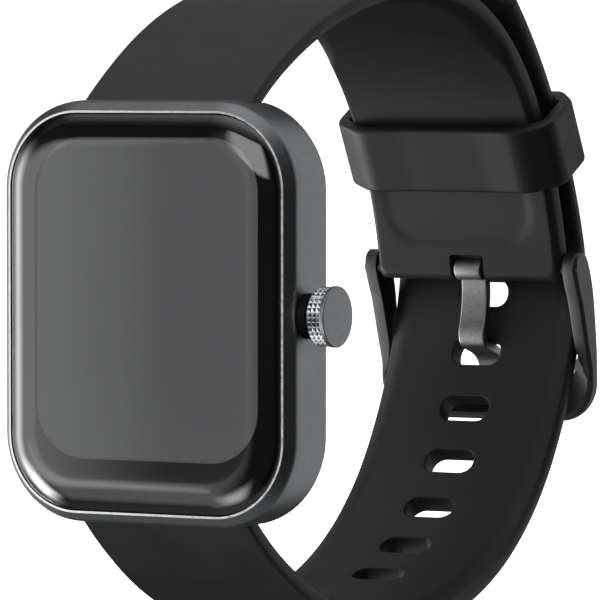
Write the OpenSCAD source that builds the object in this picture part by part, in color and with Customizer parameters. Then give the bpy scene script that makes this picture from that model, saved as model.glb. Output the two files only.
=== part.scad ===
// Square smartwatch with a knurled crown, a silicone strap, a sliding keeper and a pin buckle.
// X points to the crown side, Y from the glass to the wrist, Z to twelve o'clock.

/* [Case] */
// Width of the metal case
case_w = 34.4; // [33:0.1:37]
// Height of the metal case
case_h = 43.1; // [42:0.1:46]
// Corner radius of the case outline
case_r = 9.05; // [7:0.05:10]
// Depth from the bright bezel line to the back edge of the metal case
case_d = 7; // [6.6:0.1:8]
// Depth from the bright bezel line to the sensor window's outer face
total_d = 9.6; // [9.3:0.1:11]
// How far the glass stands in front of the bezel line
dome = 1.3; // [0.6:0.1:2]

/* [Crown] */
// Radius of the knurled crown
crown_r = 3.1; // [2.6:0.1:3.4]
// Depth of the crown's axis behind the bezel line
crown_y = 3.07; // [2.9:0.05:3.4]
// Travel of the crown when it is pressed
crown_travel = 0.4; // [0.2:0.05:0.45]
// Number of knurl teeth round the crown
crown_teeth = 36; // [24:2:60]

/* [Strap] */
// Width of the strap where it meets the case
strap_w = 20; // [18:0.5:20]
// Width of the strap at the buckle
strap_wide = 23.2; // [20:0.2:23.2]
// Thickness of the strap
strap_t = 2.4; // [2:0.1:2.6]
// Distance between two holes of the long strap
hole_pitch = 7; // [6.5:0.1:9]
// Number of holes in the long strap
hole_count = 9; // [6:1:9]
// Distance along the long strap to the hole in use
hole_in_use = 83.4; // [83:0.1:84]

/* [Buckle] */
// Half width of the buckle frame
frame_half = 13.4; // [13.4:0.1:14]
// Width of one side bar of the buckle frame
frame_bar = 1.65; // [1.4:0.05:1.65]
// Width of the buckle's tongue
tongue_w = 3.3; // [2.6:0.1:3.6]

/* [Hidden] */
$fn = 48;
e = 0.01;

// Case: the bezel line's width and how far it sits in from the case outline
bezel_in = 1.05;
bezel_line = 0.25;
glass_gap = 0.05;
glass_w = case_w - 2 * (bezel_in + bezel_line + glass_gap);
glass_h = case_h - 2 * (bezel_in + bezel_line + glass_gap);
glass_r = case_r - bezel_in - bezel_line - glass_gap;
glass_edge = 2.9;
glass_back = 0.3;
glass_foot = 0.95;
ledge_y = 1.05;
hall_w = case_w - 3.8;
hall_h = 32;
hall_r = 5.5;
hall_y = 2.2;
front_cavity_w = 29;
front_cavity_h = 37.8;
front_cavity_r = 6.4;
gasket_w = hall_w + 1.1;
gasket_h = hall_h + 0.7;
gasket_r = 6;
screen_w = 26.1;
screen_h = 32.8;
screen_r = 5.5;
screen_z = 1.43;

// Back cover and sensors
cover_in = 0.35;
cover_d = 1.7;
cover_y = case_d + 0.02;
cover_back = cover_y + cover_d;
bump_r = 11;
bump_back = total_d - 0.3;
window_r = 8.5;
screw_x = 13;
screw_z = 14.2;
charge_x = 1.4;
charge_z = -13.2;
magnet_x = 5.4;

// Strap lugs: a pocket at each end of the case holds the strap's end on a spring bar
pocket_half = strap_w / 2 + 0.2;
pocket_y = 3.4;
pocket_z = 17.3;
lug_y = 5.4;
lug_z = 19.6;
lug_r = 1.8;
lug_bore = 0.83;
tube_r = 0.77;
tube_bore = 0.47;
tube_half = 9.6;
tip_r = 0.4;
tip_reach = 11.4;
tip_hole = 0.45;
tip_hole_end = 11.6;
lever_x = 6.2;
lever_r = 0.45;
lever_travel = 1.2;

// Crown along X, measured outward from the case centre
wall_x = case_w / 2;
collar_end = wall_x + 0.95;
knob_in = collar_end + crown_travel + 0.09;
knob_out = wall_x + 3.25;
cap_out = wall_x + 3.5;
stem_r = 0.8;
stem_in = 12.3;
tube_in = 14.6;
tube_r_out = 1.48;
collar_r = 2.3;
cap_in = knob_out - 0.2;
plug_r = 1.5;
knurl_depth = 0.3;
knurl_rows = 3;

// Strap paths in the (Y, Z) plane: a start point, a heading in degrees and a list of
// [centre-line radius, sweep] arcs that all turn towards the wrist
upper_start = [5.95, 21];
upper_heading = 37.9;
upper_arcs = [[56.3, 39.5], [27.7, 53.6], [46.5, 25.1]];
lower_start = [5.25, 21];
lower_heading = 42.5;
lower_arcs = [[49.3, 26.3], [42.6, 40.4], [34.6, 30.7], [47, 25], [9.9, 27.3], [61.2, 35.2]];
keeper_c = [38, 0];
keeper_from = 21.6;
keeper_to = 35;
keeper_in = 31.75;
keeper_out = 38.8;
keeper_wall = 1.5;
keeper_half = 11.85;
keeper_side = 1.7;

// Buckle
bar_y = 71.7;
bar_z = 2.3;
bar_r = 0.6;
bar_bore = 0.65;
bar_clear = 0.67;
barrel_r = 1.3;
notch_half = tongue_w / 2 + 0.45;
hole_w = 6;
hole_h = 3.1;
holes_before = 5;
frame_low = -14.8;
frame_r = 4.4;
window_low = -12;
window_corner_r = 3;

// ---------- placing ----------

// Moves the model so that the sensor window's outer face lies on Y = 0
module place() translate([0, -total_d, 0]) children();

// Turns a drawing in (X, Z) into a plate from depth y0 to depth y1
module plate(y0, y1) translate([0, y1, 0]) rotate([90, 0, 0]) linear_extrude(y1 - y0) children();

// Turns the local Z axis to +X, with local x to Y and local y to Z
module along_x() rotate([90, 0, 90]) children();

// A cylinder along X from x0 to x1 about the axis (y, z)
module rod_x(x0, x1, y, z, r) translate([x0, y, z]) rotate([0, 90, 0]) cylinder(h = x1 - x0, r = r);

// A cylinder along Y from y0 to y1 about the axis (x, z)
module rod_y(y0, y1, x, z, r) translate([x, y1, z]) rotate([90, 0, 0]) cylinder(h = y1 - y0, r = r);

// A box given by its low and high corners
module box(low, high) translate(low) cube(high - low);

// Turns a part of the twelve o'clock side half round to the six o'clock side
module to_lower_side() rotate([0, 180, 0]) children();

// ---------- rounded rectangles ----------

module rrect(w, h, r) {
  square([w - 2 * r, h], center = true);
  square([w, h - 2 * r], center = true);
  for (x = [-1, 1], z = [-1, 1]) translate([x * (w / 2 - r), z * (h / 2 - r)]) circle(r);
}

// A rounded slab whose edge follows edge, a list of [inset, depth] points from front to back
module slab(w, h, r, edge) {
  a = w / 2 - r;
  b = h / 2 - r;
  last = len(edge) - 1;
  outline = concat([[0, -edge[0][1]]], [for (p = edge) [r - p[0], -p[1]]], [[0, -edge[last][1]]]);
  plate(edge[0][1], edge[last][1]) square([2 * a, 2 * b], center = true);
  rotate([90, 0, 0]) for (i = [0:3]) {
    la = i % 2 == 0 ? a : b;
    lb = i % 2 == 0 ? b : a;
    rotate([0, 0, 90 * i]) translate([la, lb, 0]) {
      rotate_extrude(angle = 90) polygon(outline);
      rotate([90, 0, 0]) linear_extrude(2 * lb) polygon(outline);
    }
  }
}

// ---------- strap paths ----------

// The arcs before arc i, walked from the start point, give its start state [y, z, heading]
function walk(s, arc, part = 1) =
  let (h = s[2], r = arc[0], a = arc[1] * part)
  [s[0] + r * (sin(h) - sin(h - a)), s[1] + r * (cos(h - a) - cos(h)), h - a];
function state(start, heading, arcs, i) =
  i == 0 ? [start[0], start[1], heading] : walk(state(start, heading, arcs, i - 1), arcs[i - 1]);

// The state at a distance d along the path, starting from arc i
function at(d, start, heading, arcs, i = 0) =
  let (length = arcs[i][0] * arcs[i][1] * PI / 180)
  d <= length || i == len(arcs) - 1
    ? walk(state(start, heading, arcs, i), arcs[i], d / length)
    : at(d - length, start, heading, arcs, i + 1);

// Half of the strap's section as [height from the centre line, distance in from the edge]
strap_edge = [
  [-strap_t / 2, 1.1], [-strap_t / 2 + 0.25, 0.4], [-0.2, 0], [0.5, 0], [strap_t / 2 - 0.2, 0.3],
  [strap_t / 2, 0.9]
];

// The strap's half width at depth y: narrow at the case, widening towards the buckle
function half_width(y) =
  let (part = min(max((y - 10) / 40, 0), 1))
  (strap_w + (strap_wide - strap_w) * part) / 2;

// Stations every few degrees along a path, each [y, z, heading]
function stations(start, heading, arcs) = concat(
  [for (i = [0:len(arcs) - 1])
    let (s = state(start, heading, arcs, i), steps = ceil(arcs[i][1] / 4))
    for (k = [0:steps - 1]) walk(s, arcs[i], k / steps)],
  [state(start, heading, arcs, len(arcs))]
);

// The section at station s, walked round from one edge to the other
function section(s) =
  let (w = half_width(s[0]), n = len(strap_edge))
  [for (i = [0:2 * n - 1])
    let (p = i < n ? strap_edge[i] : strap_edge[2 * n - 1 - i], side = i < n ? 1 : -1)
    [side * (w - p[1]), s[0] - p[0] * sin(s[2]), s[1] + p[0] * cos(s[2])]];

// The strap's body: its section carried along a path
module band(start, heading, arcs) {
  path = stations(start, heading, arcs);
  n = 2 * len(strap_edge);
  last = len(path) - 1;
  polyhedron(
    points = [for (s = path) each section(s)],
    faces = concat(
      [for (i = [0:last - 1], k = [0:n - 1])
        let (m = (k + 1) % n) [i * n + k, i * n + m, (i + 1) * n + m, (i + 1) * n + k]],
      [[for (k = [n - 1:-1:0]) k]],
      [[for (k = [0:n - 1]) last * n + k]]
    )
  );
}

// The strap's end in the case: a bead round the spring bar with a slot for the release lever
module lug_end(start, heading) {
  difference() {
    union() {
      rod_x(-strap_w / 2, strap_w / 2, lug_y, lug_z, lug_r);
      along_x() translate([0, 0, -strap_w / 2]) linear_extrude(strap_w) {
        n = [-sin(heading), cos(heading)] * strap_t / 2;
        polygon([
          [lug_y - lug_r * 0.8, lug_z + lug_r * 0.6], start + n, start - n,
          [lug_y + lug_r * 0.8, lug_z - lug_r * 0.6]
        ]);
      }
    }
    rod_x(-20, 20, lug_y, lug_z, lug_bore);
  }
}

// The space that the spring bar and its lever need inside the strap
module lever_slot() {
  box([lever_x - lever_travel - lever_r - 0.25, lug_y, lug_z - lever_r - 0.2],
      [lever_x + lever_r + 0.25, lug_y + 5, lug_z + lever_r + 0.2]);
}

// ---------- case ----------

module case_solid() {
  slab(case_w, case_h, case_r, [
    [1.3, 0.06], [1.05, 0], [0.66, 0.14], [0.34, 0.4], [0.12, 0.78], [0.02, 1.25],
    [0, 1.6], [0, case_d - 0.5], [0.1, case_d - 0.2], [0.35, case_d]
  ]);
}

module case_frame() color([0.42, 0.42, 0.43]) place() {
  difference() {
    case_solid();
    plate(-1, ledge_y) rrect(glass_w + 2 * glass_gap, glass_h + 2 * glass_gap, glass_r + glass_gap);
    plate(-1, hall_y + e) rrect(front_cavity_w, front_cavity_h, front_cavity_r);
    plate(hall_y, case_d + 1) rrect(hall_w, hall_h, hall_r);
    plate(case_d - 0.4, case_d + 1) difference() {
      rrect(gasket_w + 1.0, gasket_h + 1.0, gasket_r + 0.5);
      rrect(gasket_w, gasket_h, gasket_r);
    }
    for (s = [-1, 1]) {
      box([-pocket_half, pocket_y, s > 0 ? pocket_z : -30], [pocket_half, case_d + 1, s > 0 ? 30 : -pocket_z]);
      rod_x(-tip_hole_end, tip_hole_end, lug_y, s * lug_z, tip_hole);
    }
    rod_x(hall_w / 2 - 1, case_w, crown_y, 0, tube_r_out + 0.02);
  }
  for (x = [-1, 1], z = [-1, 1]) difference() {
    rod_y(hall_y + 1.2, case_d - 1, x * screw_x, z * screw_z, 1.5);
    rod_y(hall_y + 2, case_d, x * screw_x, z * screw_z, 0.52);
  }
}

module cover_glass() color([0.05, 0.05, 0.06, 0.6]) place() {
  dome_arc = [for (t = [90:-15:0]) [glass_edge * (1 - cos(t)), -dome * sin(t)]];
  difference() {
    slab(glass_w, glass_h, glass_r, concat(dome_arc, [[0, glass_foot]]));
    plate(glass_back, glass_foot + 1) rrect(glass_w - 1.7, glass_h - 1.7, glass_r - 0.85);
  }
}

// The black border printed round the screen, as a film behind the glass
module glass_border() color([0.02, 0.02, 0.02]) place() {
  plate(glass_back + 0.02, glass_back + 0.1) difference() {
    rrect(glass_w - 1.8, glass_h - 1.8, glass_r - 0.9);
    translate([0, screen_z]) rrect(screen_w, screen_h, screen_r);
  }
}

module glass_adhesive() color([0.1, 0.1, 0.1]) place() {
  plate(glass_foot + 0.01, ledge_y - 0.01) difference() {
    rrect(glass_w - 0.2, glass_h - 0.2, glass_r - 0.1);
    rrect(glass_w - 1.6, glass_h - 1.6, glass_r - 0.8);
  }
}

module display_panel() color([0.2, 0.2, 0.22]) place() {
  plate(glass_back + 0.12, 1.3) rrect(28.4, 37.4, 6);
}

module backlight() color([0.85, 0.86, 0.88]) place() {
  plate(1.32, 1.95) rrect(28, 36.8, 5.8);
}

// A ribbon that leaves the back of the display and turns back onto the main board
module display_flex() color([0.75, 0.45, 0.15]) place() {
  turn = 1.06;
  translate([-3.5, 2.1, 14.2]) along_x() linear_extrude(7) {
    translate([-0.1, -4]) square([0.16, 4]);
    translate([2 * turn - 0.1, -2.4]) square([0.16, 2.4]);
    translate([turn, 0]) difference() {
      circle(turn + 0.1);
      circle(turn - 0.06);
      translate([-5, -10]) square([10, 10]);
    }
  }
}

// ---------- inside the case ----------

// The plastic carrier that holds the battery and the board, with a gap for the crown switch
module inner_chassis() color([0.16, 0.16, 0.17]) place() {
  difference() {
    union() {
      plate(hall_y + 0.1, hall_y + 0.7) rrect(hall_w - 0.3, hall_h - 0.3, hall_r - 0.15);
      box([-11.3, hall_y + 0.6, -15.3], [8.5, 5.4, -4.4]);
    }
    box([-10.8, 0, -14.7], [7.9, 8, -5]);
    box([8.4, 0, -2.3], [20, 5, 2.3]);
    box([-4.2, 0, 13.2], [4.2, 5, 20]);
    plate(0, 5) translate([-4, 5.5]) square([14, 8], center = true);
    for (x = [-1, 1], z = [-1, 1]) rod_y(0, 6, x * screw_x, z * screw_z, 1.7);
  }
}

module main_board() color([0.04, 0.24, 0.12]) place() {
  difference() {
    plate(4.32, 4.95) union() {
      translate([0, 3.9]) square([29.6, 15.4], center = true);
      translate([0, 12.5]) square([21.6, 5.4], center = true);
    }
    rod_y(3, 6, -12.6, -1.6, 0.7);
    rod_y(3, 6, 12.6, 9.6, 0.7);
    rod_x(tube_in - 0.3, 20, crown_y, 0, 1.8);
  }
}

module board_shield() color([0.72, 0.72, 0.7]) place() {
  difference() {
    box([-13, 4.97, 1.5], [-2.4, 6.3, 11]);
    box([-12.8, 4.9, 1.7], [-2.6, 6.1, 10.8]);
    for (i = [0:4]) rod_y(6, 7, -11.4 + 1.9 * i, 3.4, 0.35);
  }
}

module board_chips() color([0.08, 0.08, 0.09]) place() {
  box([0.5, 4.97, 3.5], [6, 5.9, 9]);
  box([7.6, 4.97, 5.4], [11.2, 5.7, 8.6]);
  box([7.6, 4.97, -1.6], [10.6, 5.6, 1]);
  for (i = [0:4]) box([0.6 + 1.5 * i, 4.97, 11], [1.5 + 1.5 * i, 5.4, 11.5]);
}

module battery() color([0.72, 0.74, 0.77]) place() {
  back = 6.1;
  difference() {
    box([-10.6, hall_y + 0.2, -14.5], [7.7, back, -5.2]);
    box([-10.7, back - 0.6, -5.9], [7.8, back + 1, -5.1]);
  }
}

module vibration_motor() color([0.68, 0.68, 0.7]) place() {
  translate([11.6, 4.9, -12]) cylinder(h = 5.6, r = 1.75);
  translate([11.6, 4.9, -6.42]) cylinder(h = 0.8, r = 0.4);
  translate([11.6, 4.9, -5.7]) intersection() {
    cylinder(h = 1.1, r = 1.6);
    translate([-3, -0.6, 0]) cube([6, 3, 2]);
  }
}

// ---------- back ----------

module back_cover() color([0.07, 0.07, 0.075]) place() {
  difference() {
    union() {
      slab(case_w - 2 * cover_in, case_h - 2 * cover_in, case_r - cover_in, [
        [0, cover_y], [0, cover_y + 0.5], [0.2, cover_y + 1], [0.8, cover_y + 1.45],
        [1.7, cover_back]
      ]);
      plate(case_d - 0.8, cover_y + 0.1) difference() {
        rrect(hall_w - 0.3, hall_h - 0.3, hall_r - 0.15);
        rrect(hall_w - 2.3, hall_h - 2.3, hall_r - 1.15);
      }
      rod_y(cover_back - 0.2, cover_back + 0.3, 0, 0, bump_r);
      rod_y(cover_back - 0.2, bump_back, 0, 0, bump_r - 0.6);
    }
    for (s = [-1, 1]) {
      box([-pocket_half, 3, s > 0 ? pocket_z : -30], [pocket_half, 12, s > 0 ? 30 : -pocket_z]);
    }
    rod_y(8.95, 12, 0, 0, window_r + 0.05);
    rod_y(5, 12, 0, 0, window_r - 0.9);
    for (x = [-1, 1], z = [-1, 1]) {
      rod_y(5, 12, x * screw_x, z * screw_z, 0.62);
      rod_y(cover_back - 0.75, 12, x * screw_x, z * screw_z, 1.15);
      rod_y(5, case_d - 0.55, x * screw_x, z * screw_z, 1.75);
    }
    for (s = [-1, 1]) {
      rod_y(5, 12, s * charge_x, charge_z, 0.92);
      rod_y(5, 8.2, s * magnet_x, charge_z, 1.35);
    }
  }
}

module back_gasket() color([0.5, 0.12, 0.1]) place() {
  plate(case_d - 0.38, case_d + 0.01) difference() {
    rrect(gasket_w + 0.9, gasket_h + 0.9, gasket_r + 0.45);
    rrect(gasket_w + 0.1, gasket_h + 0.1, gasket_r + 0.05);
  }
}

// Four cross-recessed screws from the back
module back_screws() color([0.62, 0.62, 0.63]) place() {
  head = cover_back - 0.12;
  for (x = [-1, 1], z = [-1, 1]) difference() {
    union() {
      rod_y(head - 0.6, head, x * screw_x, z * screw_z, 1.1);
      rod_y(4.6, head - 0.5, x * screw_x, z * screw_z, 0.5);
    }
    for (a = [0, 90]) translate([x * screw_x, head, z * screw_z]) rotate([0, a, 0])
      cube([1.3, 0.6, 0.3], center = true);
  }
}

module sensor_window() color([0.03, 0.03, 0.035, 0.7]) place() {
  rod_y(8.97, total_d - 0.2, 0, 0, window_r);
  rod_y(8.97, total_d, 0, 0, window_r - 0.4);
}

module sensor_board() color([0.04, 0.2, 0.12]) place() {
  rod_y(7.2, 7.9, 0, 0, window_r - 1.1);
}

module sensor_leds() color([0.55, 0.8, 0.5]) place() {
  for (a = [0:90:270]) rotate([0, a, 0]) box([3.4, 7.92, -0.8], [5, 8.5, 0.8]);
  box([-1.6, 7.92, -1.6], [1.6, 8.6, 1.6]);
}

module charging_pins() color([0.85, 0.68, 0.3]) place() {
  for (s = [-1, 1]) {
    rod_y(7.3, cover_back + 0.05, s * charge_x, charge_z, 0.9);
    rod_y(6.4, 7.4, s * charge_x, charge_z, 0.5);
  }
}

module charging_magnets() color([0.6, 0.6, 0.62]) place() {
  for (s = [-1, 1]) rod_y(6.6, 8.15, s * magnet_x, charge_z, 1.3);
}

// ---------- crown ----------

module crown_bushing() color([0.08, 0.08, 0.09]) place() {
  difference() {
    union() {
      rod_x(tube_in, wall_x + 0.1, crown_y, 0, tube_r_out);
      rod_x(wall_x + 0.02, collar_end, crown_y, 0, collar_r);
    }
    rod_x(0, 30, crown_y, 0, stem_r + 0.06);
  }
}

// A toothed disc across X, for one row of the knurling
module knurl_row(x0, x1) {
  step = 360 / crown_teeth;
  translate([x0, crown_y, 0]) along_x() linear_extrude(x1 - x0)
    polygon([for (i = [0:2 * crown_teeth - 1])
      (i % 2 == 0 ? crown_r : crown_r - knurl_depth) * [cos(i * step / 2), sin(i * step / 2)]]);
}

module crown_knob() color([0.66, 0.66, 0.68]) place() {
  row = (cap_in - 0.01 - knob_in) / knurl_rows;
  difference() {
    union() {
      rod_x(knob_in, cap_in - 0.01, crown_y, 0, crown_r - knurl_depth - 0.02);
      for (i = [0:knurl_rows - 1]) knurl_row(knob_in + i * row + 0.06, knob_in + (i + 1) * row - 0.06);
    }
    rod_x(0, knob_out - 0.75, crown_y, 0, stem_r + 0.02);
    rod_x(knob_out - 0.6, 40, crown_y, 0, plug_r + 0.03);
  }
}

module crown_cap() color([0.4, 0.4, 0.41]) place() {
  rod_x(knob_out - 0.58, cap_in + e, crown_y, 0, plug_r);
  rod_x(cap_in, cap_out - 0.06, crown_y, 0, crown_r - 0.02);
  rod_x(cap_in, cap_out, crown_y, 0, crown_r - 0.1);
}

module crown_stem() color([0.7, 0.7, 0.72]) place() {
  difference() {
    rod_x(stem_in, knob_out - 0.8, crown_y, 0, stem_r);
    difference() {
      rod_x(15.8, 16.4, crown_y, 0, 2);
      rod_x(15.7, 16.5, crown_y, 0, 0.5);
    }
    difference() {
      rod_x(14.1, 14.4, crown_y, 0, 2);
      rod_x(14, 14.5, crown_y, 0, 0.6);
    }
  }
}

module crown_seal() color([0.05, 0.05, 0.05]) place() {
  translate([16.1, crown_y, 0]) rotate([0, 90, 0]) rotate_extrude() translate([0.675, 0]) circle(0.16);
}

module crown_clip() color([0.6, 0.6, 0.62]) place() {
  difference() {
    rod_x(14.13, 14.37, crown_y, 0, 1.05);
    rod_x(14, 14.5, crown_y, 0, 0.61);
    box([14, crown_y - 0.45, -2], [14.5, crown_y + 0.45, -0.2]);
  }
}

module crown_switch() color([0.12, 0.12, 0.13]) place() {
  difference() {
    box([8.9, 2.1, -1.8], [11.2, 4.3, 1.8]);
    rod_x(9.9, 12, crown_y, 0, 0.75);
  }
}

module crown_plunger() color([0.85, 0.85, 0.82]) place() {
  rod_x(10.5, stem_in - 0.15, crown_y, 0, 0.68);
}

// ---------- spring bars ----------

module bar_tube() {
  difference() {
    rod_x(-tube_half, tube_half, lug_y, lug_z, tube_r);
    rod_x(-tube_half - 1, tube_half + 1, lug_y, lug_z, tube_bore);
    box([lever_x - lever_travel - lever_r - 0.15, lug_y, lug_z - lever_r - 0.05],
        [lever_x + lever_r + 0.15, lug_y + 2, lug_z + lever_r + 0.05]);
  }
}

module bar_tip() {
  rod_x(-tip_reach, -tube_half + 1.9, lug_y, lug_z, tip_r);
  rod_x(-tube_half + 0.1, -tube_half + 1.9, lug_y, lug_z, tube_bore - 0.02);
}

// The sliding pin that a lever pulls back to free the strap
module release_pin() {
  rod_x(4.2, tip_reach, lug_y, lug_z, tip_r);
  rod_y(lug_y, lug_y + 3.6, lever_x, lug_z, lever_r - 0.07);
  rod_y(lug_y + 3.2, lug_y + 3.7, lever_x, lug_z, lever_r);
}

// A compression spring along X: rings of points on a helix, joined into one tube
module coil(x0, x1, turns, r, wire) {
  sides = 6;
  per_turn = 10;
  rings = turns * per_turn;
  points = [
    for (i = [0:rings], k = [0:sides - 1])
      let (a = 360 * i / per_turn, b = 360 * k / sides, q = r + wire * cos(b))
      [x0 + (x1 - x0) * i / rings + wire * sin(b), q * cos(a), q * sin(a)]
  ];
  sides_faces = [
    for (i = [0:rings - 1], k = [0:sides - 1])
      let (n = (k + 1) % sides)
      [i * sides + k, (i + 1) * sides + k, (i + 1) * sides + n, i * sides + n]
  ];
  first = [for (k = [0:sides - 1]) k];
  end = [for (k = [sides - 1:-1:0]) rings * sides + k];
  polyhedron(points, concat(sides_faces, [first], [end]));
}

module bar_spring() translate([0, lug_y, lug_z]) coil(-1.6, 4, 7, 0.3, 0.09);

module upper_bar_tube() color([0.5, 0.5, 0.52]) place() bar_tube();
module upper_bar_tip() color([0.6, 0.6, 0.62]) place() bar_tip();
module upper_release_pin() color([0.65, 0.65, 0.67]) place() release_pin();
module upper_bar_spring() color([0.75, 0.75, 0.75]) place() bar_spring();
module lower_bar_tube() color([0.5, 0.5, 0.52]) place() to_lower_side() bar_tube();
module lower_bar_tip() color([0.6, 0.6, 0.62]) place() to_lower_side() bar_tip();
module lower_release_pin() color([0.65, 0.65, 0.67]) place() to_lower_side() release_pin();
module lower_bar_spring() color([0.75, 0.75, 0.75]) place() to_lower_side() bar_spring();

// ---------- strap ----------

module strap_upper() color([0.1, 0.1, 0.105]) place() {
  difference() {
    union() {
      band(upper_start, upper_heading, upper_arcs);
      lug_end(upper_start, upper_heading);
      rod_x(-strap_wide / 2, strap_wide / 2, bar_y, bar_z, strap_t / 2);
    }
    lever_slot();
    rod_x(-20, 20, bar_y, bar_z, bar_bore);
    box([-notch_half, bar_y - 6, bar_z - 4], [notch_half, bar_y + 6, bar_z + 1.9]);
  }
}

// One stadium-shaped hole across the strap at a distance d along it
module strap_hole(d) {
  s = at(d, lower_start, lower_heading, lower_arcs);
  translate([0, s[0], s[1]]) rotate([s[2], 0, 0]) {
    c = (hole_w - hole_h) / 2;
    for (x = [-c, c]) translate([x, 0, -4]) cylinder(h = 8, r = hole_h / 2);
    cube([2 * c, hole_h, 8], center = true);
  }
}

module strap_lower() color([0.1, 0.1, 0.105]) place() to_lower_side() {
  tip = state(lower_start, lower_heading, lower_arcs, len(lower_arcs));
  difference() {
    union() {
      band(lower_start, lower_heading, lower_arcs);
      lug_end(lower_start, lower_heading);
    }
    lever_slot();
    for (i = [0:hole_count - 1]) strap_hole(hole_in_use + (i - holes_before) * hole_pitch);
    // The tip is rounded off across its width
    translate([0, tip[0], tip[1]]) rotate([tip[2], 0, 0]) difference() {
      translate([-20, -7, -5]) cube([40, 14, 10]);
      translate([0, -13.9, -6]) cylinder(h = 12, r = 14);
    }
  }
}

// The loop that holds the strap's free end
module keeper() color([0.1, 0.1, 0.105]) place() {
  c = 2.2;
  o = keeper_half + keeper_side;
  along_x() translate([keeper_c[0], keeper_c[1], 0]) rotate([0, 0, keeper_from])
    rotate_extrude(angle = keeper_to - keeper_from, $fn = 180) difference() {
      low = keeper_in - keeper_wall;
      high = keeper_out + keeper_wall * 0.85;
      polygon([
        [low, o - c], [low + 0.6, o - 0.7], [low + c, o], [high - c, o], [high - 0.5, o - 0.8],
        [high, o - c], [high, c - o], [high - 0.5, 0.8 - o], [high - c, -o], [low + c, -o],
        [low + 0.6, 0.7 - o], [low, c - o]
      ]);
      translate([keeper_in, -keeper_half]) square([keeper_out - keeper_in, 2 * keeper_half]);
    }
}

// ---------- buckle ----------

// The frame's side view as seen from the crown side, in (Y, Z)
module frame_side() {
  polygon([
    [70.75, 3], [70.8, 1.8], [71.3, 0.6], [72.3, -1.2], [73.8, -5.4], [74.6, -7.6], [75, -10],
    [75.1, -14], [75.4, -14.6], [76, frame_low], [76.5, -14.4], [76.6, -13.6], [76.6, -9.4],
    [76.5, -6], [75.7, -0.6], [74.9, 2.4], [73.9, 3.8], [72.8, 4.2], [71.7, 4.1], [71, 3.6]
  ]);
}

// A tall U from height low up, with round lower corners
module u_shape(half, low, r) {
  translate([-half, low + r]) square([2 * half, 30]);
  translate([r - half, low]) square([2 * (half - r), r + 1]);
  for (s = [-1, 1]) translate([s * (half - r), low + r]) circle(r);
}

module buckle_frame() color([0.36, 0.36, 0.37]) place() {
  inner_half = frame_half - frame_bar;
  difference() {
    union() {
      intersection() {
        along_x() translate([0, 0, -frame_half]) linear_extrude(2 * frame_half) frame_side();
        plate(60, 90) difference() {
          u_shape(frame_half, frame_low, frame_r);
          u_shape(inner_half, window_low, window_corner_r);
        }
      }
      // A lip that narrows the window at the frame's outer face
      for (s = [-1, 1]) plate(75.9, 76.5)
        polygon([[s * (inner_half + 0.2), -8.3], [s * (inner_half - 1.2), -9.8],
                 [s * (inner_half - 2.6), window_low - 0.2], [s * (inner_half + 0.2), window_low - 0.2]]);
    }
    rod_x(-20, 20, bar_y, bar_z, bar_clear);
  }
}

module buckle_tongue() color([0.4, 0.4, 0.41]) place() {
  difference() {
    union() {
      rod_x(-tongue_w / 2, tongue_w / 2, bar_y, bar_z, barrel_r);
      along_x() translate([0, 0, -tongue_w / 2]) linear_extrude(tongue_w) polygon([
        [72.2, 1.2], [72.3, -1.2], [71.8, -3.4], [71.45, -5.2], [71.6, -6.3], [72.3, -6.9],
        [74.8, -7.95], [76.2, -8.9], [76.8, -10], [76.95, -14.2], [77.5, -14.6], [77.9, -14.2],
        [77.95, -9.8], [77.2, -8.2], [75.9, -7.2], [72.8, -5.9], [72.5, -5.3], [72.8, -3.3],
        [73.25, -1.2], [73, 2.3]
      ]);
    }
    rod_x(-20, 20, bar_y, bar_z, bar_clear);
  }
}

module buckle_bar() color([0.5, 0.5, 0.52]) place() {
  rod_x(-frame_half - 0.02, frame_half + 0.02, bar_y, bar_z, bar_r);
}

case_frame();
cover_glass();
glass_border();
glass_adhesive();
display_panel();
backlight();
display_flex();
inner_chassis();
main_board();
board_shield();
board_chips();
battery();
vibration_motor();
back_cover();
back_gasket();
back_screws();
sensor_window();
sensor_board();
sensor_leds();
charging_pins();
charging_magnets();
crown_bushing();
crown_knob();
crown_cap();
crown_stem();
crown_seal();
crown_clip();
crown_switch();
crown_plunger();
upper_bar_tube();
upper_bar_tip();
upper_release_pin();
upper_bar_spring();
lower_bar_tube();
lower_bar_tip();
lower_release_pin();
lower_bar_spring();
strap_upper();
strap_lower();
keeper();
buckle_frame();
buckle_tongue();
buckle_bar();
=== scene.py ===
"""The looks of the smartwatch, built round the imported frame.

Lengths below are millimetres. A point is (across, depth, height): across grows towards the crown,
depth is measured back from the bright bezel line, and height grows towards twelve o'clock.
"""

import math

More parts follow.
